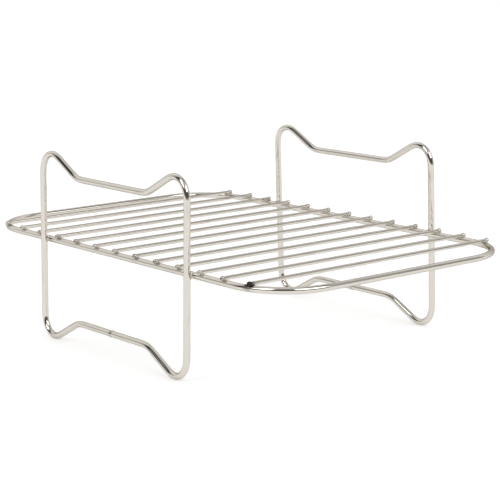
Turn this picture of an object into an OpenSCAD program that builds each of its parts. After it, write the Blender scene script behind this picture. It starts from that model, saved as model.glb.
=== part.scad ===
// Wire rack for an air fryer drawer. A shelf of thin cross bars lies on a closed rim wire,
// and two closed wire leg frames hold the shelf at about half their height.
// X runs along the rim's long side, Y along the cross bars, Z up. The origin is on the
// surface that the rack stands on, below its middle. Millimetres and degrees.

/* [Shelf rim] */
// Outer length of the rim, along X
shelf_length = 230; // [190:1:280]
// Outer width of the rim, along Y
shelf_width = 144; // [110:1:190]
// Outer radius of the rim's four corners
rim_corner_r = 29; // [20:0.5:40]
// Height of the rim wire's centre above the surface that the rack stands on
shelf_height = 47; // [36:0.5:56]
// Diameter of the rim wire
rim_wire = 3; // [2:0.1:4]

/* [Cross bars] */
// Number of cross bars, spread evenly
bar_count = 13; // [3:1:15]
// Distance from the rim's outer end to the middle of the first cross bar
end_gap = 20.2; // [17:0.1:35]
// Diameter of the cross bars
bar_wire = 1.8; // [1.2:0.1:3]
// Diameter of a cross bar's rounded end, which the weld presses wider than the bar
bar_end_d = 2.3; // [1.8:0.1:3]
// Reach of a cross bar's rounded end past the rim's outer edge
bar_overhang = 0.7; // [-0.6:0.1:3]
// Depth that the weld presses a cross bar into the rim
bar_set_in = 0.3; // [0.1:0.05:0.5]

/* [Leg frames] */
// Overall height of the rack
rack_height = 90; // [80:1:120]
// Outer width of a leg frame, along X
leg_width = 116; // [90:1:150]
// Diameter of the leg wire
leg_wire = 3; // [2:0.1:4]
// Bend radius of the feet and peaks, at the wire's centre
foot_bend_r = 8.5; // [5:0.5:12]
// Bend radius at the ends of the valley, at the wire's centre
valley_bend_r = 9; // [4:0.5:14]
// Depth of the valley below the peaks, and of its mirror image above the feet
valley_depth = 9.8; // [6:0.1:16]
// Slope of the wire between a peak and the valley, below the horizontal
valley_slope = 28; // [22:0.5:45]
// Outward lean of each leg frame towards its feet
leg_splay = 1.4; // [0:0.1:4]
// Depth that the weld presses a leg frame into the side of the rim
leg_set_in = 0.3; // [0.1:0.05:0.6]

/* [Welds] */
// Height of the ring that the closing weld leaves around the leg wire
seam_height = 0.2; // [0.1:0.05:0.5]
// Width of that ring along the wire
seam_width = 0.9; // [0.6:0.1:2]
// Radius of the bead squeezed out between a leg frame and the rim
bead_r = 2.3; // [1.9:0.1:3]
// Thickness of that bead
bead_thickness = 1.1; // [0.8:0.1:1.6]

/* [Hidden] */
// Facets around each wire
wire_facets = 48;
// Loss of wire diameter in a bend, where the wire is drawn out a little
bend_thinning = 0.02;
// Length by which a straight piece of wire laps over the start of a bend
bend_lap = 0.05;

// The rim wire's centre line: half lengths, corner radius and where its corners start
rim_half_x = (shelf_length - rim_wire) / 2;
rim_half_y = (shelf_width - rim_wire) / 2;
rim_bend_r = rim_corner_r - rim_wire / 2;
rim_straight_x = rim_half_x - rim_bend_r;
rim_straight_y = rim_half_y - rim_bend_r;

// Distance between the cross bars, and the height of their centres
bar_pitch = (shelf_length - 2 * end_gap) / (bar_count - 1);
bar_height = shelf_height + (rim_wire + bar_wire) / 2 - bar_set_in;

// Diameter of the ball at a cross bar's end, never less than the bar
bar_ball = max(bar_end_d, bar_wire);

// A leg frame's centre line: half width, and its reach above and below the shelf along its lean
leg_half_x = (leg_width - leg_wire) / 2;
leg_plane_y = (shelf_width + leg_wire) / 2 - leg_set_in;
foot_wire = leg_wire - bend_thinning;
reach_up = (rack_height - foot_wire / 2 - shelf_height) / cos(leg_splay);
reach_down = (shelf_height - foot_wire / 2) / cos(leg_splay);

// Height of a foot's sharp corner past its bend, and the valley's half length between corners
corner_rise = foot_bend_r * (1 / cos(valley_slope) + tan(valley_slope) - 1);
valley_half_x = leg_half_x - (corner_rise + valley_depth) / tan(valley_slope);

// Centre of the contact between a leg frame and the rim
contact_y = (shelf_width - leg_set_in) / 2;

// The front side lies at -Y and the left end at -X
SIDES = [-1, 1];
ENDS = [-1, 1];

function bar_name(i) = str("cross_bar_", i < 10 ? "0" : "", i);
function side_name(side) = side < 0 ? "front" : "rear";
function weld_name(side, end) = str("weld_", side_name(side), end < 0 ? "_left" : "_right");

// Paths of bent wire in the XY plane, as corner points with a bend radius each

// Unit vector from a to b
function heading(a, b) = (b - a) / norm(b - a);
// Vector turned a quarter to the left
function left_of(v) = [-v.y, v.x];
// Angle by which the path turns at b, positive to the left
function turn_at(a, b, c) =
    let (u = heading(a, b), v = heading(b, c))
    atan2(u.x * v.y - u.y * v.x, u * v);
// Distance from the sharp corner b to where its bend starts
function setback(a, b, c, r) = r * tan(abs(turn_at(a, b, c)) / 2);

// Straight piece of wire from a to b
module straight_wire(a, b, wire) {
    run = b - a;
    translate([a.x, a.y, 0])
        rotate([0, 90, atan2(run.y, run.x)])
            cylinder(h = norm(run), d = wire, $fn = wire_facets);
}

// Bend of radius r that replaces the sharp corner b
module bent_wire(a, b, c, r, wire) {
    turn = turn_at(a, b, c);
    inward = left_of(heading(a, b)) * sign(turn);
    outward_at_end = -left_of(heading(b, c)) * sign(turn);
    start = b - heading(a, b) * setback(a, b, c, r);
    centre = start + inward * r;
    first = turn > 0 ? -inward : outward_at_end;
    translate([centre.x, centre.y, 0])
        rotate([0, 0, atan2(first.y, first.x)])
            rotate_extrude(angle = abs(turn), $fn = wire_facets * 2)
                translate([r, 0])
                    circle(d = wire - bend_thinning, $fn = wire_facets);
}

// Closed loop of wire through corner points, each with its own bend radius
module wire_loop(points, radii, wire) {
    count = len(points);
    for (i = [0:count - 1]) {
        a = points[(i + count - 1) % count];
        b = points[i];
        c = points[(i + 1) % count];
        d = points[(i + 2) % count];
        next_r = radii[(i + 1) % count];
        way = heading(b, c);
        first_bend = setback(a, b, c, radii[i]) - bend_lap;
        second_bend = setback(b, c, d, next_r) - bend_lap;
        bent_wire(a, b, c, radii[i], wire);
        straight_wire(b + way * first_bend, c - way * second_bend, wire);
    }
}

// Rim wire at its height: a rectangle with round corners
module rim_wire_loop() {
    corners = [
        [rim_half_x, rim_half_y],
        [-rim_half_x, rim_half_y],
        [-rim_half_x, -rim_half_y],
        [rim_half_x, -rim_half_y]
    ];
    translate([0, 0, shelf_height])
        wire_loop(corners, [for (corner = corners) rim_bend_r], rim_wire);
}

// Moves a shape drawn in the XY plane to a leg frame's plane, leaning about the shelf's height
module in_leg_plane(side) {
    translate([0, side * leg_plane_y, shelf_height])
        rotate([90 + side * leg_splay, 0, 0])
            children();
}

// Loop of a leg frame: two uprights, a valley between two peaks, and its mirror image below
module leg_wire_loop(side) {
    right_half = [
        [valley_half_x, -reach_down + valley_depth],
        [leg_half_x, -reach_down - corner_rise],
        [leg_half_x, reach_up + corner_rise],
        [valley_half_x, reach_up - valley_depth]
    ];
    left_half = [for (i = [3:-1:0]) [-right_half[i].x, right_half[i].y]];
    bends = [valley_bend_r, foot_bend_r, foot_bend_r, valley_bend_r];
    in_leg_plane(side)
        wire_loop(concat(right_half, left_half), concat(bends, bends), leg_wire);
}

// Ring left by the weld that closes the leg wire, in the middle of its lower straight
module closing_seam(side) {
    in_leg_plane(side)
        translate([0, -reach_down + valley_depth, 0])
            rotate([0, 90, 0])
                rotate_extrude($fn = wire_facets)
                    translate([leg_wire / 2 + seam_height - seam_width / 2, 0])
                        circle(d = seam_width, $fn = wire_facets);
}

// Place of a cross bar's centre along the shelf
function bar_x(i) = (i - (bar_count + 1) / 2) * bar_pitch;

// Numbers of the cross bars whose centres lie within reach of x
function bars_near(x, reach) = [for (i = [1:bar_count]) if (abs(bar_x(i) - x) < reach) i];

// Half length of a cross bar at x: up to the rim's outer edge, which curves in at the corners
function bar_half_length(x) =
    let (into_corner = max(0, abs(x) - rim_straight_x))
    rim_straight_y + sqrt(pow(rim_corner_r, 2) - pow(into_corner, 2)) + bar_overhang;

// Round wire along Y with a ball at each end
module ball_ended_bar(half_length) {
    straight_half = half_length - bar_ball / 2;
    rotate([90, 0, 0])
        cylinder(h = 2 * straight_half, d = bar_wire, center = true, $fn = wire_facets);
    for (end = ENDS)
        translate([0, end * straight_half, 0])
            rotate([90, 0, 0])
                sphere(d = bar_ball, $fn = wire_facets);
}

// Cross bar in its place, before its saddles are cut
module placed_bar(i) {
    translate([bar_x(i), 0, bar_height])
        ball_ended_bar(bar_half_length(bar_x(i)));
}

// Disc with a round edge, lying between the two wires, its axis along Y
module weld_disc() {
    core_r = bead_r - bead_thickness / 2;
    rotate([90, 0, 0]) {
        cylinder(h = bead_thickness, r = core_r, center = true, $fn = wire_facets);
        rotate_extrude($fn = wire_facets)
            translate([core_r, 0])
                circle(d = bead_thickness, $fn = wire_facets);
    }
}

module rim() {
    color("lightgray")
        rim_wire_loop();
}

// A leg frame, with a saddle at each upright where the rim is welded in
module leg_frame(side) {
    color("gainsboro")
        difference() {
            union() {
                leg_wire_loop(side);
                closing_seam(side);
            }
            rim_wire_loop();
        }
}

// A cross bar, with a saddle at each end where it is welded to the rim. A bar that meets an
// upright ends at it.
module cross_bar(i) {
    beside_upright = abs(abs(bar_x(i)) - leg_half_x) < (leg_wire + bar_ball) / 2;
    color("silver")
        difference() {
            placed_bar(i);
            rim_wire_loop();
            if (beside_upright)
                for (side = SIDES) leg_wire_loop(side);
        }
}

// Bead in the crook between a leg frame's upright and the rim. It flows round a bar in its way.
module leg_weld(side, end) {
    x = end * leg_half_x;
    color("darkgray")
        difference() {
            translate([x, side * contact_y, shelf_height])
                weld_disc();
            rim_wire_loop();
            leg_wire_loop(side);
            for (i = bars_near(x, bead_r + bar_ball / 2)) placed_bar(i);
        }
}

rim();
leg_frame(-1);  // front_leg_frame
leg_frame(1);  // rear_leg_frame
for (i = [1:bar_count])
    cross_bar(i);
for (side = SIDES, end = ENDS)
    leg_weld(side, end);
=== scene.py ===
"""Dresses the wire rack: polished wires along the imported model's centre lines, weld metal, floor and light."""

import math
from collections import namedtuple

import bpy
import numpy as np
from bpy.props import FloatProperty, FloatVectorProperty, IntProperty, PointerProperty
from bpy.types import NodeSocket, Operator, Panel, PropertyGroup
from mathutils import Matrix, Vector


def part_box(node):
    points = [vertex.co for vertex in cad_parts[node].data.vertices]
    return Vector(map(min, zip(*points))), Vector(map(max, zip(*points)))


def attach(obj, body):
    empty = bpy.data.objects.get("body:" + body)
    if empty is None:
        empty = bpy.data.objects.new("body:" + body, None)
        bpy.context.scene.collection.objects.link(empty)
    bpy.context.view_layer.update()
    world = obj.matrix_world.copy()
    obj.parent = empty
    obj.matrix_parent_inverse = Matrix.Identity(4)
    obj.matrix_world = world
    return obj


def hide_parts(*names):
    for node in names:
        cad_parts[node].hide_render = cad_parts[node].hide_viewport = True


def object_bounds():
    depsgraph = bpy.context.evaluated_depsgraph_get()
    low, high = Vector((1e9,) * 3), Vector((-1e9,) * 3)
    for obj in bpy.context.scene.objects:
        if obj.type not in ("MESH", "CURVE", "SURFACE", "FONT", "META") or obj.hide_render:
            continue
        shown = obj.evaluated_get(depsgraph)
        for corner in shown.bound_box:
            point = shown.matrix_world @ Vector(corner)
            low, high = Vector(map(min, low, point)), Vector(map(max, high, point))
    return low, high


bl_info = {
    "name": "Wire Rack",
    "version": (1, 0, 0),
    "blender": (4, 5, 0),
    "location": "View3D > Sidebar > Wire Rack",
    "description": "Builds a polished wire rack with its welds, on a pale studio floor",
    "category": "Add Mesh",
}

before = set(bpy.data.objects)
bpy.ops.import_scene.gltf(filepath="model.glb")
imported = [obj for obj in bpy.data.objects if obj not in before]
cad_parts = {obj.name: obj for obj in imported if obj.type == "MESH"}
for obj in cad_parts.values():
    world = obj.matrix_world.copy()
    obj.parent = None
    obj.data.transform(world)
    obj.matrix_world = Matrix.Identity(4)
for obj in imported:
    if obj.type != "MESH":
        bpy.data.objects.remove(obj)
CAD_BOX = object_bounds()

SIDES = {"front": -1, "rear": 1}
ENDS = {"left": -1, "right": 1}
BAR_NODES = sorted(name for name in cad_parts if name.startswith("cross_bar_"))


def box_size(node):
    """Edge lengths of a node's box."""
    low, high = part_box(node)
    return np.array(high) - np.array(low)


def box_middle(node):
    """Centre of a node's box."""
    low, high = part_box(node)
    return (np.array(high) + np.array(low)) / 2


RIM_SIZE = box_size("rim")
LEG_SIZE = box_size("front_leg_frame")
BAR_SIZE = box_size(BAR_NODES[len(BAR_NODES) // 2])


class RackSizes(PropertyGroup):
    """Sizes of the wires and bends."""

    rim_wire: FloatProperty(
        name="Rim wire", description="Diameter of the rim wire", default=RIM_SIZE[2], unit="LENGTH"
    )
    leg_wire: FloatProperty(
        name="Leg wire", description="Diameter of the leg wire", default=0.003, unit="LENGTH"
    )
    bar_wire: FloatProperty(
        name="Bar wire", description="Diameter of the cross bars", default=0.0018, unit="LENGTH"
    )
    rim_corner: FloatProperty(
        name="Rim corner", description="Outer radius of the rim's corners", default=0.029, unit="LENGTH"
    )
    foot_bend: FloatProperty(
        name="Foot bend", description="Bend radius of feet and peaks", default=0.0085, unit="LENGTH"
    )
    valley_bend: FloatProperty(
        name="Valley bend", description="Bend radius at the valley's ends", default=0.009, unit="LENGTH"
    )
    valley_depth: FloatProperty(
        name="Valley depth", description="Depth of the valley below the peaks", default=0.0098, unit="LENGTH"
    )
    valley_slope: FloatProperty(
        name="Valley slope", description="Slope from a peak to the valley", default=math.radians(28), unit="ROTATION"
    )
    leg_splay: FloatProperty(
        name="Leg splay", description="Outward lean of the leg frames", default=math.radians(1.4), unit="ROTATION"
    )
    seam_height: FloatProperty(
        name="Seam height", description="Height of the closing weld's ring", default=0.0002, unit="LENGTH"
    )
    seam_width: FloatProperty(
        name="Seam width", description="Width of the closing weld's ring", default=0.0009, unit="LENGTH"
    )
    end_bulb: FloatProperty(
        name="End bulb", description="Diameter of a cross bar's swollen end", default=BAR_SIZE[0], unit="LENGTH"
    )
    spring_back: FloatProperty(
        name="Spring back", description="Length over which a bend runs out into a straight", default=0.0021,
        unit="LENGTH"
    )
    spacing: FloatProperty(
        name="Ring spacing", description="Distance between the rings of a wire's mesh", default=0.0007, unit="LENGTH"
    )
    facets: IntProperty(name="Facets", description="Facets around a wire", default=48, min=12, max=96)


class RackFinish(PropertyGroup):
    """Colours and finish of the metal."""

    steel: FloatVectorProperty(
        name="Steel", description="Colour of the polished wire", subtype="COLOR", size=3, default=(0.705, 0.665, 0.605)
    )
    dull_steel: FloatVectorProperty(
        name="Dull steel", description="Colour of the wire's duller streaks", subtype="COLOR", size=3,
        default=(0.63, 0.595, 0.54)
    )
    # Dark tint beside the welds; at the corner's weld the same colour is a painted dark reflection laid evenly over the
    # metal.
    heat_tint_and_dark_reflection: FloatVectorProperty(
        name="Heat tint and painted dark reflection", description="Colour of the wire beside a weld", subtype="COLOR", size=3,
        default=(0.05, 0.041, 0.037)
    )
    weld: FloatVectorProperty(
        name="Weld metal", description="Colour of the weld beads", subtype="COLOR", size=3, default=(0.74, 0.71, 0.66)
    )
    roughness: FloatProperty(
        name="Roughness", description="Roughness of the polished wire", default=0.06, min=0.0, max=1.0
    )


class RackStudio(PropertyGroup):
    """Camera and light."""

    azimuth: FloatProperty(
        name="Azimuth", description="Direction that the camera looks from", default=math.radians(51.05), unit="ROTATION"
    )
    elevation: FloatProperty(
        name="Elevation", description="Height of the camera's view", default=math.radians(11.22), unit="ROTATION"
    )
    roll: FloatProperty(
        name="Roll", description="Turn of the camera about its view", default=math.radians(0.67), unit="ROTATION"
    )
    distance: FloatProperty(
        name="Distance", description="From the camera to the rack's middle", default=0.7929, unit="LENGTH"
    )
    aim_right: FloatProperty(
        name="Aim right", description="Aim point's place right of the rack's middle", default=0.00554, unit="LENGTH"
    )
    aim_down: FloatProperty(
        name="Aim down", description="Aim point's place below the rack's middle", default=0.00488, unit="LENGTH"
    )
    lens: FloatProperty(
        name="Focal length", description="Focal length in millimetres on a 36 mm sensor", default=119.48
    )
    floor: FloatVectorProperty(
        name="Floor", description="Colour of the floor", subtype="COLOR", size=3, default=(0.80, 0.80, 0.80)
    )
    floor_radius: FloatProperty(
        name="Floor radius", description="Radius of the floor", default=3.0, unit="LENGTH"
    )


# Meshes


def unit(vectors):
    """Vectors at length 1, along the last axis."""
    return vectors / np.linalg.norm(vectors, axis=-1, keepdims=True)


def bent_path(corners, bend_radii, spacing):
    """Centre line of a closed loop of bent wire in a plane.

    Between corners the wire is straight. At a corner it follows an arc that touches both straights: the arc's
    centre plus its first radius, turned by an even share of the corner's turn.
    """
    corners = np.asarray(corners, float)
    ahead = unit(np.roll(corners, -1, 0) - corners)
    before = np.roll(ahead, 1, 0)
    cross = before[:, 0] * ahead[:, 1] - before[:, 1] * ahead[:, 0]
    turns = np.arctan2(cross, (before * ahead).sum(1))
    setbacks = np.asarray(bend_radii) * np.tan(np.abs(turns) / 2)
    points = []
    for i, (corner, radius, turn) in enumerate(zip(corners, bend_radii, turns)):
        after = (i + 1) % len(corners)
        inward = np.array([-before[i, 1], before[i, 0]]) * np.sign(turn)
        start = corner - before[i] * setbacks[i]
        centre = start + inward * radius
        steps = max(6, int(radius * abs(turn) / spacing) + 1)
        angle = np.linspace(0, turn, steps, endpoint=False)[:, None]
        across = start - centre
        points.append(centre + np.cos(angle) * across + np.sin(angle) * [-across[1], across[0]])
        run_start = corner + ahead[i] * setbacks[i]
        run = corners[after] - ahead[i] * setbacks[after] - run_start
        steps = max(2, int(np.linalg.norm(run) / spacing) + 1)
        share = np.linspace(0, 1, steps, endpoint=False)[:, None]
        points.append(run_start + share * run)
    return np.vstack(points)


def eased(line, spacing, reach):
    """Closed line whose bends run out gently into the straights, with its headings and curvature.

    The line is cut into even steps. Each point then becomes the mean of the line around it, weighted by a bell
    curve whose half width is the reach. The curvature is the turn between neighbouring headings, per length.
    """
    run = run_lengths(line)
    count = int(round(run[-1] / spacing))
    even = np.linspace(0, run[-1], count, endpoint=False)
    closed = np.vstack([line, line[:1]])
    steps = np.minimum(np.arange(count), count - np.arange(count)) * run[-1] / count
    bell = np.exp(-0.5 * (steps / reach) ** 2)
    spectrum = np.fft.rfft(bell / bell.sum())
    axes = [np.fft.irfft(np.fft.rfft(np.interp(even, run, axis)) * spectrum, count) for axis in closed.T]
    points = np.column_stack(axes)
    heading = unit(np.roll(points, -1, 0) - np.roll(points, 1, 0))
    turn = np.linalg.norm(np.roll(heading, -1, 0) - np.roll(heading, 1, 0), axis=1)
    return points, heading, turn / (2 * run[-1] / count)


def run_lengths(points):
    """Length run along a closed line at each point, and the whole length at the end."""
    steps = np.linalg.norm(np.roll(points, -1, 0) - points, axis=1)
    return np.concatenate([[0.0], np.cumsum(steps)])


def tube_rings(centres, across, up, half_across, half_up, facets):
    """Rings of a tube: centre plus across times cos(a) times its half width, plus up times sin(a) times its own."""
    angle = np.linspace(0, 2 * math.pi, facets, endpoint=False)
    width = np.broadcast_to(half_across, (len(centres), facets)) * np.cos(angle)
    height = np.broadcast_to(half_up, (len(centres), facets)) * np.sin(angle)
    return centres[:, None] + width[..., None] * across[:, None] + height[..., None] * up[:, None]


def grid_quads(rings, facets, closed):
    """Vertex numbers of the quads between neighbouring rings, pointing outwards, and each quad's ring and facet."""
    ring, facet = np.meshgrid(np.arange(rings if closed else rings - 1), np.arange(facets), indexing="ij")
    ring, facet = ring.ravel(), facet.ravel()
    next_ring, next_facet = (ring + 1) % rings, (facet + 1) % facets
    quads = np.column_stack([
        ring * facets + facet,
        ring * facets + next_facet,
        next_ring * facets + next_facet,
        next_ring * facets + facet,
    ])
    return quads, ring, facet


def wire_mesh(name, rings, lengths, closed):
    """Mesh of a wire from its rings. lengths is the length run at each ring, and once more at the end if closed.

    An open wire's end rings are closed by a point each. The map wire_map holds the turn round the wire in u and
    the length run in v.
    """
    count, facets = rings.shape[:2]
    vertices = rings.reshape(-1, 3)
    quads, ring, facet = grid_quads(count, facets, closed)
    faces = quads.tolist()
    u = np.column_stack([facet, facet + 1, facet + 1, facet]) / facets
    v = np.column_stack([lengths[ring], lengths[ring], lengths[ring + 1], lengths[ring + 1]])
    loops = [np.column_stack([u.ravel(), v.ravel()])]
    if not closed:
        first, last = len(vertices), len(vertices) + 1
        vertices = np.vstack([vertices, rings[0].mean(0), rings[-1].mean(0)])
        here = np.arange(facets)
        there = (here + 1) % facets
        top = (count - 1) * facets
        faces += np.column_stack([np.full(facets, first), there, here]).tolist()
        faces += np.column_stack([top + here, top + there, np.full(facets, last)]).tolist()
        middle = (here + 0.5) / facets
        start, end = np.full(facets, lengths[0]), np.full(facets, lengths[-1])
        loops.append(np.column_stack([middle, start, (here + 1) / facets, start, here / facets, start]).reshape(-1, 2))
        loops.append(np.column_stack([here / facets, end, (here + 1) / facets, end, middle, end]).reshape(-1, 2))
    return smooth_mesh(name, vertices, faces, np.vstack(loops))


def smooth_mesh(name, vertices, faces, uv):
    """Smooth-shaded mesh with the map wire_map."""
    mesh = bpy.data.meshes.new(name)
    mesh.from_pydata(vertices.tolist(), [], faces)
    mesh.polygons.foreach_set("use_smooth", np.ones(len(mesh.polygons), bool))
    layer = mesh.uv_layers.new(name="wire_map")
    layer.data.foreach_set("uv", uv.ravel().astype(np.float32))
    if mesh.validate():
        raise RuntimeError(f"{name}: its mesh has faulty faces")
    return mesh


def mark_heat_and_dark_reflection(mesh, welds, strengths, reach, already=0.0):
    """Attribute weld_heat_and_dark_reflection: the strongest of strength times exp(-(distance / reach) squared) over
    the welds.

    It is never less than the tint that is there already. Below 1 it is a tint from welding; above 1 it is a painted
    dark reflection that makes the metal evenly dark.
    """
    places = np.empty(len(mesh.vertices) * 3, np.float32)
    mesh.vertices.foreach_get("co", places)
    middles = np.array([weld[:3] for weld in welds])
    distance = np.linalg.norm(places.reshape(-1, 1, 3) - middles, axis=2)
    heat_tint_and_dark_reflection = np.maximum(already, (np.asarray(strengths) * np.exp(-((distance / reach) ** 2))).max(1))
    layer = mesh.attributes.new("weld_heat_and_dark_reflection", "FLOAT", "POINT")
    layer.data.foreach_set("value", heat_tint_and_dark_reflection.astype(np.float32))


def add_piece(mesh, material, slot, *nodes):
    """Object of a mesh that rides with the rack and stands for the named nodes."""
    mesh.materials.append(material)
    piece = bpy.data.objects.new(mesh.name, mesh)
    bpy.context.scene.collection.objects.link(piece)
    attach(piece, "root")
    if nodes:
        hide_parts(*nodes)
    return piece


# Places of the wires and welds


def rim_bend(sizes):
    """Bend radius of the rim wire's centre line."""
    return sizes.rim_corner - sizes.rim_wire / 2


def rim_height():
    """Height of the rim wire's centre."""
    return box_middle("rim")[2]


def rim_line_at(x, sizes):
    """Distance of the rim's centre line from the middle plane at x, and how far it is turned there."""
    bend = rim_bend(sizes)
    straight_x = RIM_SIZE[0] / 2 - sizes.rim_corner
    straight_y = RIM_SIZE[1] / 2 - sizes.rim_corner
    past = max(0.0, abs(x) - straight_x)
    return straight_y + math.sqrt(bend**2 - past**2), math.asin(past / bend) * math.copysign(1, x)


def bar_crossings(sizes):
    """Middles of the spot welds between cross bars and rim, with the rim's turn at each."""
    found = []
    for node in BAR_NODES:
        x, _, _ = box_middle(node)
        y, turn = rim_line_at(x, sizes)
        for side in SIDES.values():
            found.append((x, side * y, rim_height() + sizes.rim_wire / 2, -side * turn))
    return found


def spot_heat_and_dark_reflection():
    """Tint marks of the spot welds, in the order of bar_crossings: slight ones, and at the corner a painted dark
    reflection, set above 1 so that it shows evenly dark.
    """
    count = len(BAR_NODES) * len(SIDES)
    marks = 0.66 + 0.30 * np.sin(2.4 * np.arange(count))
    # Painted dark reflection at the corner: this weld's mark is set to 4.0.
    marks[count - len(SIDES)] = 4.0
    return marks


def leg_weld_places():
    """Middles of the beads between leg frames and rim, by side and end."""
    return {
        (side, end): box_middle(f"weld_{side}_{end}")
        for side in SIDES
        for end in ENDS
    }


# Materials


def add_node(tree, kind, inputs=None, **settings):
    """Shader node with its settings, and its inputs linked or set."""
    node = tree.nodes.new(kind)
    for name, value in settings.items():
        setattr(node, name, value)
    for key, value in (inputs or {}).items():
        if isinstance(value, NodeSocket):
            tree.links.new(value, node.inputs[key])
        else:
            node.inputs[key].default_value = value
    return node


def maths(tree, operation, *values):
    """Output of a Math node."""
    return add_node(tree, "ShaderNodeMath", dict(enumerate(values)), operation=operation).outputs[0]


def ramp(tree, value, low, high, to_low=0.0, to_high=1.0):
    """Value carried smoothly from the range low to high onto to_low to to_high."""
    inputs = {"Value": value, "From Min": low, "From Max": high, "To Min": to_low, "To Max": to_high}
    return add_node(tree, "ShaderNodeMapRange", inputs, interpolation_type="SMOOTHSTEP").outputs["Result"]


def mixed(tree, share, first, second):
    """Output of a colour Mix node."""
    node = add_node(tree, "ShaderNodeMix", data_type="RGBA")
    for key, value in ((0, share), (6, first), (7, second)):
        if isinstance(value, NodeSocket):
            tree.links.new(value, node.inputs[key])
        else:
            node.inputs[key].default_value = value
    return node.outputs[2]


def opaque(colour):
    """Colour with full alpha."""
    return (*colour, 1.0)


def new_material(name):
    """Empty node material and its tree."""
    material = bpy.data.materials.new(name)
    material.use_nodes = True
    material.node_tree.nodes.clear()
    return material, material.node_tree


def metal_surface(tree, colour, roughness, normal):
    """Metal shader and the material's output."""
    shader = add_node(
        tree,
        "ShaderNodeBsdfPrincipled",
        {
            "Base Color": colour,
            "Metallic": 1.0,
            "Roughness": roughness,
            "Normal": normal,
            "Specular Tint": (0.5, 0.48, 0.45, 1.0),
        },
    )
    add_node(tree, "ShaderNodeOutputMaterial", {"Surface": shader.outputs[0]})


def wire_coordinates(tree, around, along):
    """The wire's own map as a cylinder, so that a pattern closes round the wire: around and along stretch it."""
    split = add_node(tree, "ShaderNodeSeparateXYZ", {0: add_node(tree, "ShaderNodeUVMap", uv_map="wire_map").outputs[0]})
    angle = maths(tree, "MULTIPLY", split.outputs[0], 2 * math.pi)
    return add_node(
        tree,
        "ShaderNodeCombineXYZ",
        {
            0: maths(tree, "MULTIPLY", maths(tree, "COSINE", angle), around),
            1: maths(tree, "MULTIPLY", maths(tree, "SINE", angle), around),
            2: maths(tree, "MULTIPLY", split.outputs[1], along),
        },
    ).outputs[0]


def noise(tree, vector, scale, detail=2.0):
    """Output of a Noise node."""
    inputs = {"Vector": vector, "Scale": scale, "Detail": detail}
    return add_node(tree, "ShaderNodeTexNoise", inputs).outputs[0]


def polished_wire(name, finish, line_depth, wobble_depth):
    """Polished drawn wire: long faint drawing lines, a slight unevenness, dull streaks, a tint at the welds, and a
    painted dark reflection at the corner's weld.
    """
    material, tree = new_material(name)
    places = add_node(tree, "ShaderNodeTexCoord").outputs["Object"]
    lines = noise(tree, wire_coordinates(tree, 9.0, 60.0), 1.0, 4.0)
    streaks = noise(tree, wire_coordinates(tree, 1.2, 90.0), 1.0)
    wobble = noise(tree, places, 170.0, 1.0)
    dull = ramp(tree, streaks, 0.52, 0.75)
    # The weld attribute holds the tint from welding and, above 1, the painted dark reflection at the corner's weld; it
    # is capped at 1, so the corner takes the dark colour evenly.
    heat_tint_and_dark_reflection = add_node(tree, "ShaderNodeAttribute", attribute_name="weld_heat_and_dark_reflection").outputs["Fac"]
    patchy_heat_and_reflection = maths(tree, "MULTIPLY", heat_tint_and_dark_reflection, ramp(tree, noise(tree, places, 900.0), 0.3, 0.7, 0.35, 1.0))
    patchy_heat_and_reflection = maths(tree, "MINIMUM", patchy_heat_and_reflection, 1.0)
    colour = mixed(tree, dull, opaque(finish.steel), opaque(finish.dull_steel))
    colour = mixed(tree, patchy_heat_and_reflection, colour, opaque(finish.heat_tint_and_dark_reflection))
    roughness = maths(tree, "ADD", ramp(tree, lines, 0.35, 0.75, finish.roughness * 0.7, finish.roughness * 1.6),
                      maths(tree, "MULTIPLY", patchy_heat_and_reflection, 0.35))
    fine = add_node(tree, "ShaderNodeBump", {"Strength": 1.0, "Distance": line_depth, "Height": lines})
    normal = add_node(
        tree,
        "ShaderNodeBump",
        {"Strength": 1.0, "Distance": wobble_depth, "Height": wobble, "Normal": fine.outputs[0]},
    )
    metal_surface(tree, colour, roughness, normal.outputs[0])
    return material


def weld_metal(name, finish):
    """Weld bead: lumpy, half polished over, darker in its pits, and black at the corner's weld, a painted dark
    reflection.
    """
    material, tree = new_material(name)
    places = add_node(tree, "ShaderNodeTexCoord").outputs["Object"]
    lumps = noise(tree, places, 1400.0, 3.0)
    pits = ramp(tree, noise(tree, places, 2600.0), 0.60, 0.72, 0.0, 0.6)
    # Painted dark reflection: black where the corner's weld is marked.
    painted_dark_reflection = add_node(tree, "ShaderNodeAttribute", attribute_name="weld_heat_and_dark_reflection").outputs["Fac"]
    dark = maths(tree, "MINIMUM", maths(tree, "MAXIMUM", pits, painted_dark_reflection), 1.0)
    colour = mixed(tree, dark, opaque(finish.weld), opaque(finish.heat_tint_and_dark_reflection))
    roughness = maths(tree, "ADD", ramp(tree, lumps, 0.3, 0.7, 0.22, 0.42), maths(tree, "MULTIPLY", dark, 0.35))
    height = maths(tree, "SUBTRACT", lumps, maths(tree, "MULTIPLY", pits, 0.6))
    normal = add_node(tree, "ShaderNodeBump", {"Strength": 1.0, "Distance": 0.00006, "Height": height})
    metal_surface(tree, colour, roughness, normal.outputs[0])
    return material


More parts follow.
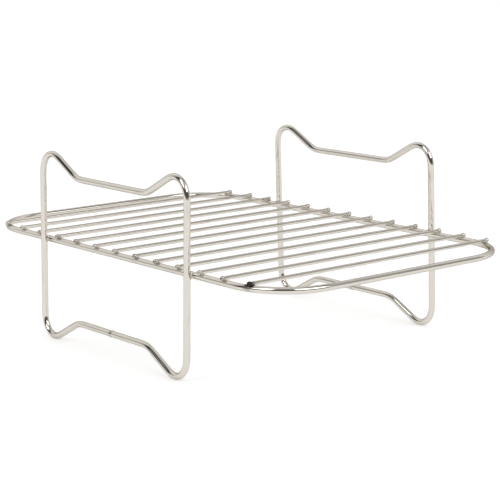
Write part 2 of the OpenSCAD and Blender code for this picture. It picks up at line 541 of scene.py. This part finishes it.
def floor_surface(name, colour):
    """Matte floor that keeps its shadows, lifted to white where it is seen or mirrored."""
    material, tree = new_material(name)
    path = add_node(tree, "ShaderNodeLightPath").outputs
    seen = maths(tree, "MAXIMUM", path["Is Camera Ray"], path["Is Glossy Ray"])
    seen = maths(tree, "MAXIMUM", seen, path["Is Transmission Ray"])
    grain = noise(tree, add_node(tree, "ShaderNodeTexCoord").outputs["Object"], 900.0)
    bump = add_node(tree, "ShaderNodeBump", {"Strength": 0.05, "Distance": 0.0001, "Height": grain})
    matte = add_node(tree, "ShaderNodeBsdfDiffuse", {"Color": opaque(colour), "Normal": bump.outputs[0]})
    lift = add_node(
        tree,
        "ShaderNodeEmission",
        {"Color": opaque([0.335] * 3), "Strength": seen},
    )
    both = add_node(tree, "ShaderNodeAddShader", {0: matte.outputs[0], 1: lift.outputs[0]})
    add_node(tree, "ShaderNodeOutputMaterial", {"Surface": both.outputs[0]})
    return material


# Operators


class RACK_OT_rim(Operator):
    """Rim wire: a round section carried along a rectangle with round corners"""

    bl_idname = "rack.rim"
    bl_label = "Rim wire"

    def execute(self, context):
        sizes, finish = context.scene.rack_sizes, context.scene.rack_finish
        half_x = (RIM_SIZE[0] - sizes.rim_wire) / 2
        half_y = (RIM_SIZE[1] - sizes.rim_wire) / 2
        corners = [(half_x, half_y), (-half_x, half_y), (-half_x, -half_y), (half_x, -half_y)]
        line = bent_path(corners, [rim_bend(sizes)] * 4, sizes.spacing)
        flat, heading, _ = eased(line, sizes.spacing, sizes.spring_back)
        points = np.column_stack([flat, np.full(len(flat), rim_height())])
        across = np.column_stack([-heading[:, 1], heading[:, 0], np.zeros(len(flat))])
        up = np.tile([0.0, 0.0, 1.0], (len(flat), 1))
        radius = sizes.rim_wire / 2
        rings = tube_rings(points, across, up, radius, radius, sizes.facets)
        mesh = wire_mesh("rim_wire", rings, run_lengths(points), True)
        # Painted dark reflection: the rim beside the corner's weld is marked at 3.0, its middle moved 1.4 mm along -x,
        # so that it shows evenly dark.
        painted_dark_reflection = spot_heat_and_dark_reflection() > 1
        places = np.array(bar_crossings(sizes))[:, :3] - np.outer(painted_dark_reflection, [0.0014, 0, 0])
        mark_heat_and_dark_reflection(mesh, places, np.where(painted_dark_reflection, 3.0, 0.08), 0.0019)
        add_piece(mesh, polished_wire("polished_rim", finish, 0.0000015, 0.00002), "rim_wire", "rim")
        return {"FINISHED"}


def leg_corners(sizes):
    """Sharp corners of a leg frame's line in its own plane, about the shelf's height, anticlockwise."""
    height = CAD_BOX[1].z - CAD_BOX[0].z
    shelf = rim_height()
    lean = math.cos(sizes.leg_splay)
    reach_up = (height - sizes.leg_wire / 2 - shelf) / lean
    reach_down = (shelf - sizes.leg_wire / 2) / lean
    half_x = (LEG_SIZE[0] - sizes.leg_wire) / 2
    rise = sizes.foot_bend * (1 / math.cos(sizes.valley_slope) + math.tan(sizes.valley_slope) - 1)
    valley_x = half_x - (rise + sizes.valley_depth) / math.tan(sizes.valley_slope)
    right = [
        (valley_x, -reach_down + sizes.valley_depth),
        (half_x, -reach_down - rise),
        (half_x, reach_up + rise),
        (valley_x, reach_up - sizes.valley_depth),
    ]
    return right + [(-x, y) for x, y in reversed(right)]


class RACK_OT_leg_frames(Operator):
    """Leg frames: a round section carried along a closed line with eight bends, flattened a little in each bend"""

    bl_idname = "rack.leg_frames"
    bl_label = "Leg frames"

    def execute(self, context):
        sizes, finish = context.scene.rack_sizes, context.scene.rack_finish
        material = polished_wire("polished_leg", finish, 0.0000015, 0.00002)
        bends = [sizes.valley_bend, sizes.foot_bend, sizes.foot_bend, sizes.valley_bend] * 2
        corners = leg_corners(sizes)
        spacing = sizes.spacing / 2
        sharp = bent_path(corners, bends, spacing)
        flat, heading, curvature = eased(sharp, spacing, sizes.spring_back)
        for sign in (-1, 1):
            reached, wanted = (sign * flat[:, 1]).max(), (sign * sharp[:, 1]).max()
            flat[:, 1] = np.where(sign * flat[:, 1] > 0, flat[:, 1] * wanted / reached, flat[:, 1])
        seam = np.argmin(np.where(flat[:, 1] < 0, np.abs(flat[:, 0]), 1.0))
        flat, heading, curvature = (np.roll(values, -seam, 0) for values in (flat, heading, curvature))
        run = run_lengths(flat)
        from_seam = np.minimum(run[:-1], run[-1] - run[:-1])
        ring = sizes.seam_height * np.exp(-((from_seam / (sizes.seam_width * 0.5)) ** 2))
        beside_ring = 0.8 * np.exp(-(((from_seam - sizes.seam_width * 0.7) / (sizes.seam_width * 0.4)) ** 2))
        radius = sizes.leg_wire / 2
        flattened = radius * (1 - 0.018 * np.minimum(1, curvature * sizes.foot_bend))
        for side, sign in SIDES.items():
            lean = sign * sizes.leg_splay
            upward = np.array([0.0, -math.sin(lean), math.cos(lean)])
            sideways = np.array([1.0, 0.0, 0.0])
            plane_y = (RIM_SIZE[1] + sizes.leg_wire) / 2 - leg_set_in(side, sizes)
            origin = np.array([0.0, sign * plane_y, rim_height()])
            points = origin + flat[:, :1] * sideways + flat[:, 1:] * upward
            across = -heading[:, 1:] * sideways + heading[:, :1] * upward
            normal = np.tile(np.cross(sideways, upward), (len(points), 1))
            rings = tube_rings(
                points, across, normal, (flattened + ring)[:, None], (radius + ring)[:, None], sizes.facets
            )
            mesh = wire_mesh(f"{side}_leg_wire", rings, run, True)
            welds = [place for (where, _), place in leg_weld_places().items() if where == side]
            mark_heat_and_dark_reflection(mesh, welds, 0.12, 0.0021, np.repeat(beside_ring, sizes.facets))
            add_piece(mesh, material, "leg_wire", f"{side}_leg_frame")
        return {"FINISHED"}


def leg_set_in(side, sizes):
    """Depth that a leg frame is pressed into the rim: from the frame's own box at its feet."""
    low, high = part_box(f"{side}_leg_frame")
    outer = max(abs(low.y), abs(high.y))
    foot_y = (rim_height() - sizes.leg_wire / 2) * math.tan(sizes.leg_splay) + sizes.leg_wire / 2
    return RIM_SIZE[1] / 2 + sizes.leg_wire / 2 - (outer - foot_y)


def ball_ended_profile(half, radius, bulb):
    """Places along a bar from -half to half, and its radius there.

    The outer quarter of each ball is a sphere's profile, cosine of an even angle. From one ball's middle to the
    other the places are the reach times the sine of an even angle, so they crowd at the balls. The radius there is
    a soft maximum of the bar's radius and the ball's, the root of the ball's radius squared less the distance
    from its middle squared.
    """
    softness = 14
    neck = half - bulb
    dome = np.linspace(0, math.pi / 2, 14, endpoint=False)[::-1]
    inner = neck * np.sin(np.linspace(-math.pi / 2, math.pi / 2, 260)[1:-1])
    from_ball = neck - np.abs(inner)
    ball = np.sqrt(np.maximum(bulb**2 - from_ball**2, 0))
    joined = np.minimum((radius**softness + ball**softness) ** (1 / softness), bulb)
    runs = np.concatenate([-neck - bulb * np.sin(dome), inner, neck + bulb * np.sin(dome[::-1])])
    return runs, np.concatenate([bulb * np.cos(dome), joined, bulb * np.cos(dome[::-1])])


class RACK_OT_cross_bars(Operator):
    """Cross bars: a round section along Y that swells into a ball at each end"""

    bl_idname = "rack.cross_bars"
    bl_label = "Cross bars"

    def execute(self, context):
        sizes, finish = context.scene.rack_sizes, context.scene.rack_finish
        material = polished_wire("polished_bar", finish, 0.000001, 0.000014)
        radius = sizes.bar_wire / 2
        for number, node in enumerate(BAR_NODES):
            low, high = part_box(node)
            x, y, _ = box_middle(node)
            half = (high.y - low.y) / 2
            bulb = sizes.end_bulb / 2
            runs, profile = ball_ended_profile(half, radius, bulb)
            centres = np.column_stack([np.full(len(runs), x), y + runs, np.full(len(runs), high.z - bulb)])
            across = np.tile([1.0, 0.0, 0.0], (len(runs), 1))
            up = np.tile([0.0, 0.0, -1.0], (len(runs), 1))
            rings = tube_rings(centres, across, up, profile[:, None], profile[:, None], sizes.facets)
            mesh = wire_mesh(node.replace("cross_bar", "bar_wire"), rings, runs - runs[0], False)
            ends = [(x, y + sign * (half - bulb / 2), high.z - bulb) for sign in SIDES.values()]
            # The corner's ball end gets the painted dark reflection, with a wider reach; the other ends get the tint
            # from welding.
            strengths = spot_heat_and_dark_reflection()[len(SIDES) * number:][:len(SIDES)]
            mark_heat_and_dark_reflection(mesh, ends, strengths, np.where(strengths > 1, 0.0019, 0.0016))
            add_piece(mesh, material, "bar_wire", node)
        return {"FINISHED"}


def lumpy(angle, seed):
    """Unevenness of about 1 round a weld: three sine waves whose phases depend on the weld."""
    return (
        1
        + 0.10 * np.sin(2 * angle + 1.7 * seed)
        + 0.07 * np.sin(3 * angle + 2.9 * seed)
        + 0.04 * np.sin(5 * angle + 4.3 * seed)
    )


class RACK_OT_spot_welds(Operator):
    """Spot welds: a thin bead carried along the line where a cross bar meets the rim"""

    bl_idname = "rack.spot_welds"
    bl_label = "Spot welds"

    def execute(self, context):
        sizes, finish = context.scene.rack_sizes, context.scene.rack_finish
        material = weld_metal("spot_weld_metal", finish)
        bar_radius, rim_radius = sizes.bar_wire / 2, sizes.rim_wire / 2
        bar_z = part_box(BAR_NODES[0])[1].z - sizes.end_bulb / 2
        reach = math.acos((bar_z - rim_height() - rim_radius) / bar_radius)
        tau = np.linspace(0, 2 * math.pi, 40, endpoint=False)
        for side, sign in SIDES.items():
            vertices, faces, uv = [], [], []
            count = 0
            for number, (x, y, _, turn) in enumerate(bar_crossings(sizes)):
                if y * sign < 0:
                    continue
                off_x = bar_radius * np.sin(reach * np.sin(tau))
                z = bar_z - bar_radius * np.cos(reach * np.sin(tau))
                depth = np.sqrt(np.maximum(rim_radius**2 - (z - rim_height()) ** 2, 0)) * np.sign(np.cos(tau))
                off_y = (depth + off_x * math.sin(turn)) / math.cos(turn)
                line = np.column_stack([x + off_x, y + off_y, z])
                rings = bead_rings(line, 0.00020 * lumpy(tau, number), 10)
                quads, ring, facet = grid_quads(len(line), 10, True)
                vertices.append(rings.reshape(-1, 3))
                faces.append(quads + count)
                u = np.column_stack([facet, facet + 1, facet + 1, facet]) / 10
                v = np.column_stack([ring, ring, ring + 1, ring + 1]) / len(line)
                uv.append(np.column_stack([u.ravel(), v.ravel()]))
                count += rings.shape[0] * rings.shape[1]
            mesh = smooth_mesh(f"{side}_spot_welds", np.vstack(vertices), np.vstack(faces).tolist(), np.vstack(uv))
            # Painted dark reflection: only the corner's spot weld is marked, at 3.0, so that it shows black.
            mark_heat_and_dark_reflection(mesh, bar_crossings(sizes), np.where(spot_heat_and_dark_reflection() > 1, 3.0, 0.0), 0.0019)
            add_piece(mesh, material, "weld_bead")
        return {"FINISHED"}


def bead_rings(line, radius, facets):
    """Rings of a bead along a closed line: each stands square to the line, one axis pointing out from its middle."""
    heading = unit(np.roll(line, -1, 0) - np.roll(line, 1, 0))
    out = line - line.mean(0)
    across = unit(out - (out * heading).sum(1, keepdims=True) * heading)
    return tube_rings(line, across, np.cross(heading, across), radius[:, None], radius[:, None], facets)


class RACK_OT_leg_welds(Operator):
    """Leg welds: a flat round bead between each upright and the rim, its outline uneven and its edge round"""

    bl_idname = "rack.leg_welds"
    bl_label = "Leg welds"

    def execute(self, context):
        finish = context.scene.rack_finish
        material = weld_metal("leg_weld_metal", finish)
        facets = 48
        angle = np.linspace(0, 2 * math.pi, facets, endpoint=False)
        edge = np.linspace(-math.pi / 2, math.pi / 2, 17)[1:-1]
        for number, ((side, end), place) in enumerate(leg_weld_places().items()):
            low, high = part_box(f"weld_{side}_{end}")
            reach = (high.z - low.z) / 2
            half_depth = (high.y - low.y) / 2
            radius = reach * lumpy(angle, number + 3) * (0.88 - 0.10 * np.sin(angle))
            rim_share = np.abs(np.cos(edge))[:, None] ** 0.45
            depth = half_depth * np.sin(edge)[:, None] * np.ones(facets)
            rings = np.stack([
                place[0] + radius * rim_share * np.cos(angle),
                place[1] + depth,
                place[2] - radius * rim_share * np.sin(angle),
            ], axis=-1)
            mesh = wire_mesh(f"{side}_{end}_leg_weld", rings, np.linspace(0, reach, len(edge)), False)
            add_piece(mesh, material, "weld_bead", f"weld_{side}_{end}")
        return {"FINISHED"}


# A zone of the studio that the wires mirror: middle and half size in degrees, softness of its edge, and brightness
Zone = namedtuple("Zone", "azimuth half_width elevation half_height softness level")

STUDIO_ZONES = {
    "ceiling": Zone(25, 187, 84, 19, 4.5, 0.67),
    "bright wall": Zone(-97, 27, 32, 20, 13.9, 1.03),
    "grey wall": Zone(-49, 9, 21, 30, 6.2, 0.48),
    "dark corner": Zone(-33, 13, 48, 44, 5, 0.06),
    "dark post": Zone(144, 12, 25, 36, 3.5, 0.40),
    "dark beam": Zone(162, 36, 63, 13, 6.7, 0.23),
    "dark room": Zone(52, 74, 14, 14, 6, 0.07),
    "side of the room": Zone(-23, 7, 21, 28, 3, 0.28),
    "left lamp": Zone(4, 20, 44, 18, 3, 3.0),
    "right lamp": Zone(97, 33, 38, 14, 3, 3.0),
    "gap between the lamps": Zone(45, 22, 31, 27, 3, 0.12),
}
WALL_LEVEL = 0.88


def light_the_world(scene):
    """World of soft zones for what the metal mirrors, and plain white for the camera."""
    world = bpy.data.worlds.new("studio_light")
    scene.world = world
    world.use_nodes = True
    tree = world.node_tree
    tree.nodes.clear()
    direction = add_node(tree, "ShaderNodeTexCoord").outputs["Generated"]
    split = add_node(tree, "ShaderNodeSeparateXYZ", {0: direction}).outputs
    azimuth = maths(tree, "ARCTAN2", split[0], maths(tree, "MULTIPLY", split[1], -1.0))
    elevation = maths(tree, "ARCSINE", split[2])
    level = WALL_LEVEL
    for zone in STUDIO_ZONES.values():
        off = maths(tree, "WRAP", maths(tree, "SUBTRACT", azimuth, math.radians(zone.azimuth)), -math.pi, math.pi)
        masks = []
        for distance, half in (
            (maths(tree, "ABSOLUTE", off), zone.half_width),
            (maths(tree, "ABSOLUTE", maths(tree, "SUBTRACT", elevation, math.radians(zone.elevation))), zone.half_height),
        ):
            inner, outer = math.radians(half - zone.softness), math.radians(half + zone.softness)
            masks.append(ramp(tree, distance, inner, outer, 1.0, 0.0))
        mask = maths(tree, "MULTIPLY", *masks)
        share = maths(tree, "SUBTRACT", 1.0, mask)
        level = maths(tree, "ADD", maths(tree, "MULTIPLY", share, level), maths(tree, "MULTIPLY", mask, zone.level))
    seen = add_node(tree, "ShaderNodeLightPath").outputs["Is Camera Ray"]
    strength = maths(tree, "ADD", maths(tree, "MULTIPLY", maths(tree, "SUBTRACT", 1.0, seen), level), seen)
    background = add_node(tree, "ShaderNodeBackground", {"Color": (1.0, 1.0, 1.0, 1.0), "Strength": strength})
    add_node(tree, "ShaderNodeOutputWorld", {"Surface": background.outputs[0]})


def add_camera(scene, studio):
    """Camera at the photograph's viewing angle, aimed a little off the rack's middle."""
    camera = bpy.data.objects.new("camera", bpy.data.cameras.new("camera"))
    scene.collection.objects.link(camera)
    scene.camera = camera
    camera.data.lens = studio.lens
    camera.data.sensor_width = 36.0
    azimuth, elevation, roll = studio.azimuth, studio.elevation, studio.roll
    back = np.array([
        math.sin(azimuth) * math.cos(elevation), -math.cos(azimuth) * math.cos(elevation), math.sin(elevation)
    ])
    level_right = unit(np.cross(-back, [0.0, 0.0, 1.0]))
    level_down = np.cross(-back, level_right)
    right = math.cos(roll) * level_right + math.sin(roll) * level_down
    down = math.cos(roll) * level_down - math.sin(roll) * level_right
    middle = np.array([0.0, 0.0, (CAD_BOX[0].z + CAD_BOX[1].z) / 2])
    place = middle + studio.aim_right * right + studio.aim_down * down + studio.distance * back
    matrix = np.eye(4)
    matrix[:3, 0], matrix[:3, 1], matrix[:3, 2], matrix[:3, 3] = right, -down, back, place
    camera.matrix_world = Matrix(matrix.tolist())


class RACK_OT_stage(Operator):
    """Stage: a round floor, the studio's light and the camera"""

    bl_idname = "rack.stage"
    bl_label = "Stage"

    def execute(self, context):
        scene, studio = context.scene, context.scene.rack_studio
        angle = np.linspace(0, 2 * math.pi, 128, endpoint=False)
        edge = studio.floor_radius * np.column_stack([np.cos(angle), np.sin(angle), 0 * angle])
        mesh = bpy.data.meshes.new("floor")
        mesh.from_pydata(edge.tolist(), [], [list(range(len(edge)))])
        mesh.materials.append(floor_surface("pale_floor", studio.floor))
        floor = bpy.data.objects.new("floor", mesh)
        scene.collection.objects.link(floor)
        light_the_world(scene)
        add_camera(scene, studio)
        scene.view_settings.view_transform = "Standard"
        return {"FINISHED"}


class RACK_PT_panel(Panel):
    """Sizes, finish and building steps of the rack"""

    bl_idname = "RACK_PT_panel"
    bl_label = "Wire Rack"
    bl_space_type = "VIEW_3D"
    bl_region_type = "UI"
    bl_category = "Wire Rack"

    def draw(self, context):
        for group in (context.scene.rack_sizes, context.scene.rack_finish, context.scene.rack_studio):
            box = self.layout.box()
            for name in group.__annotations__:
                box.prop(group, name)
        for operator in OPERATORS:
            self.layout.operator(operator.bl_idname)


GROUPS = {"rack_sizes": RackSizes, "rack_finish": RackFinish, "rack_studio": RackStudio}
OPERATORS = (
    RACK_OT_stage,
    RACK_OT_rim,
    RACK_OT_leg_frames,
    RACK_OT_cross_bars,
    RACK_OT_spot_welds,
    RACK_OT_leg_welds,
)


def register():
    """Registers the classes and hangs the property groups on the scene."""
    for name, group in GROUPS.items():
        bpy.utils.register_class(group)
        setattr(bpy.types.Scene, name, PointerProperty(type=group))
    for operator in OPERATORS:
        bpy.utils.register_class(operator)
    bpy.utils.register_class(RACK_PT_panel)


def unregister():
    """Takes back what register did."""
    bpy.utils.unregister_class(RACK_PT_panel)
    for operator in reversed(OPERATORS):
        bpy.utils.unregister_class(operator)
    for name, group in reversed(GROUPS.items()):
        delattr(bpy.types.Scene, name)
        bpy.utils.unregister_class(group)


def main():
    """Builds the rack and its stage."""
    register()
    bpy.ops.rack.stage()
    bpy.ops.rack.rim()
    bpy.ops.rack.leg_frames()
    bpy.ops.rack.cross_bars()
    bpy.ops.rack.spot_welds()
    bpy.ops.rack.leg_welds()


if __name__ == "__main__":
    main()
